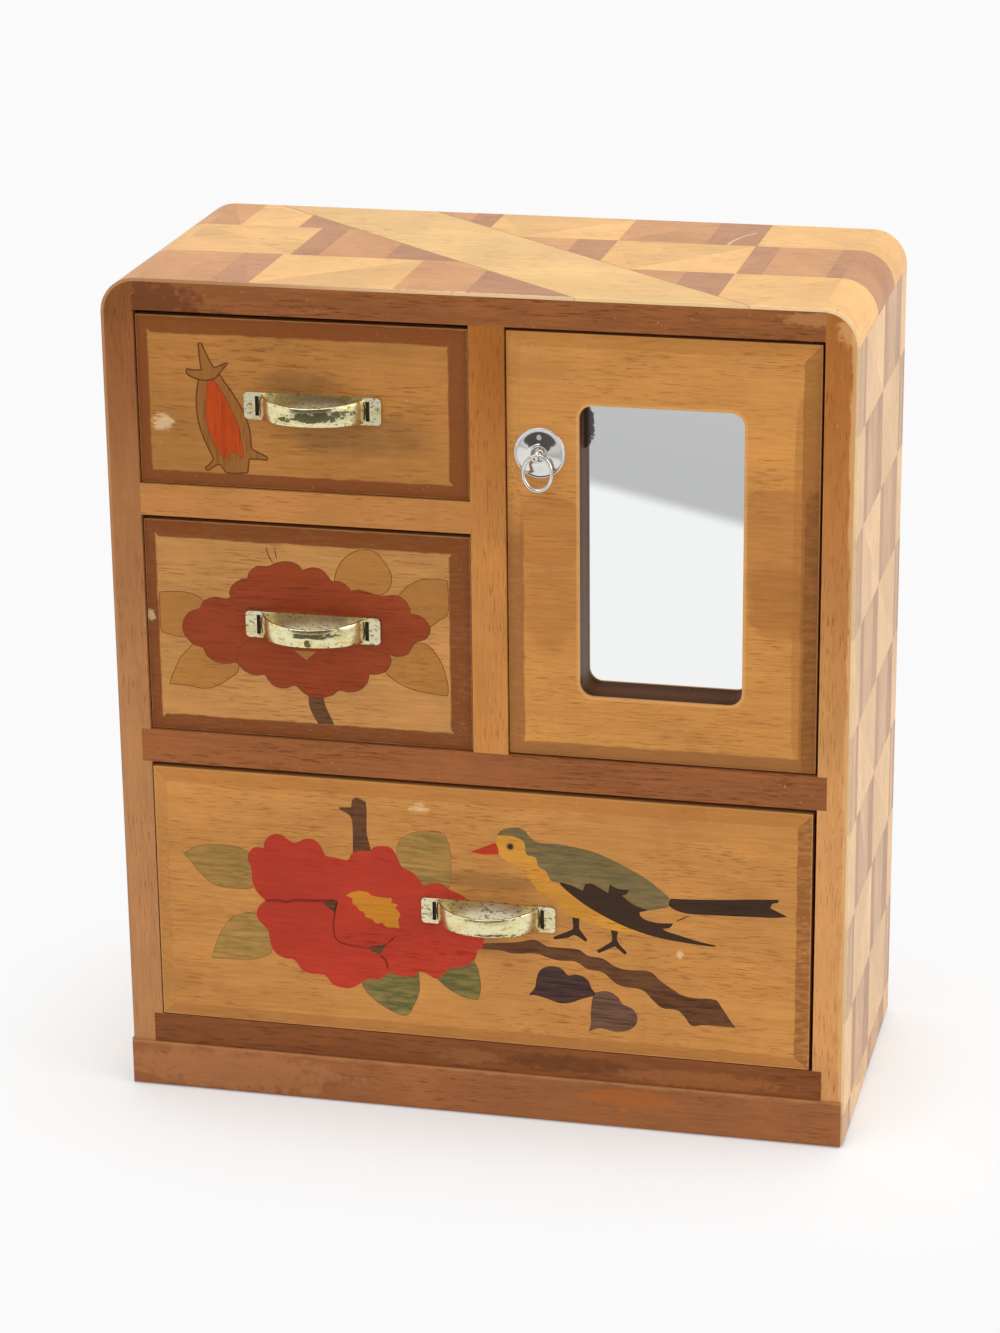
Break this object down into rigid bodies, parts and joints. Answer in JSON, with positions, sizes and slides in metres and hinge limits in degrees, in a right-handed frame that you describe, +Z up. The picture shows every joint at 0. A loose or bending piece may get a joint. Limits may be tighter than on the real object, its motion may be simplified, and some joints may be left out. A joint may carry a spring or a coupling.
{
  "type": "small tansu chest",
  "caption": "Small wooden chest with veneered parquetry case, drawers with brass bridge handles, and a mirrored door with a ring pull.",
  "frame": {"origin": "on the floor, below the middle of the whole chest with its handles", "axes": "+X to the right seen from the front, +Y towards the back, +Z up"},
  "size_m": [0.2408, 0.1247, 0.278],
  "materials": {
    "front_veneer": "satin varnish over straight-grained honey wood",
    "front_core": "darker wood bared by the hand-cut bevel, satin varnish",
    "door_core": "honey wood, satin varnish",
    "dark_board": "red-brown wood, satin varnish",
    "tan_board": "tan wood, satin varnish",
    "light_board": "light orange wood, satin varnish",
    "drawer_wood": "plain pale wood, unvarnished",
    "thin_board": "thin plain plywood, unvarnished",
    "sheet_light": "pale parquetry tile, satin varnish",
    "sheet_mauve": "mauve-brown parquetry strip, satin varnish",
    "sheet_orange": "orange-tan parquetry strip, satin varnish",
    "mirror": "silvered glass",
    "brass": "worn pale brass with blackened patches",
    "nickel": "worn nickel plate",
    "steel": "plain steel"
  },
  "bodies": {
    "carcass": {"plinth_front": "dark_board", "plinth_back": "dark_board", "plinth_left": "dark_board", "plinth_right": "dark_board", "bottom_board": "dark_board", "middle_shelf": "dark_board", "top_board": "dark_board", "small_shelf": "light_board", "vertical_divider": "light_board", "side_right": "light_board", "side_left": "tan_board", "back_panel": "thin_board", "back_nails": "steel", "door_stop": "light_board", "catch_magnet": "steel", "door_pins": "steel", "parquet_band": "sheet_light", "parquet_top_light": "sheet_light", "parquet_top_mauve": "sheet_mauve", "parquet_top_orange": "sheet_orange", "parquet_side_light": "sheet_light", "parquet_side_dark": "sheet_mauve", "parquet_side_mid": "sheet_mauve"},
    "top_drawer": {"top_drawer_front": "front_core", "top_drawer_veneer": "front_veneer", "top_drawer_side_left": "drawer_wood", "top_drawer_side_right": "drawer_wood", "top_drawer_back": "drawer_wood", "top_drawer_bottom": "thin_board", "top_drawer_handle_plate": "brass", "top_drawer_handle_bow": "brass", "top_drawer_handle_brads": "brass"},
    "middle_drawer": {"middle_drawer_front": "front_core", "middle_drawer_veneer": "front_veneer", "middle_drawer_side_left": "drawer_wood", "middle_drawer_side_right": "drawer_wood", "middle_drawer_back": "drawer_wood", "middle_drawer_bottom": "thin_board", "middle_drawer_handle_plate": "brass", "middle_drawer_handle_bow": "brass", "middle_drawer_handle_brads": "brass"},
    "bottom_drawer": {"bottom_drawer_front": "front_core", "bottom_drawer_veneer": "front_veneer", "bottom_drawer_side_left": "drawer_wood", "bottom_drawer_side_right": "drawer_wood", "bottom_drawer_back": "drawer_wood", "bottom_drawer_bottom": "thin_board", "bottom_drawer_handle_plate": "brass", "bottom_drawer_handle_bow": "brass", "bottom_drawer_handle_brads": "brass"},
    "door": {"door_panel": "door_core", "door_veneer": "front_veneer", "door_mirror": "mirror", "door_backing": "thin_board", "backing_tacks": "steel", "catch_disc": "steel", "pull_plate": "nickel", "pull_nail": "nickel", "pull_eye": "nickel"},
    "pull_ring": {"pull_ring": "nickel"}
  },
  "joints": [
    {"name": "top_drawer_slide", "type": "slide", "parent": "carcass", "child": "top_drawer", "axis": [0, -1, 0], "range_m": [0, 0.088]},
    {"name": "middle_drawer_slide", "type": "slide", "parent": "carcass", "child": "middle_drawer", "axis": [0, -1, 0], "range_m": [0, 0.088]},
    {"name": "bottom_drawer_slide", "type": "slide", "parent": "carcass", "child": "bottom_drawer", "axis": [0, -1, 0], "range_m": [0, 0.088]},
    {"name": "door_hinge", "type": "hinge", "parent": "carcass", "child": "door", "pos_m": [0.1046, -0.0445, 0.19735], "axis": [0, 0, 1], "range_deg": [0, 100]},
    {"name": "ring_swing", "type": "hinge", "parent": "door", "child": "pull_ring", "pos_m": [0.0211, -0.0515, 0.2283], "axis": [-1, 0, 0], "range_deg": [-12, 165]}
  ]
}
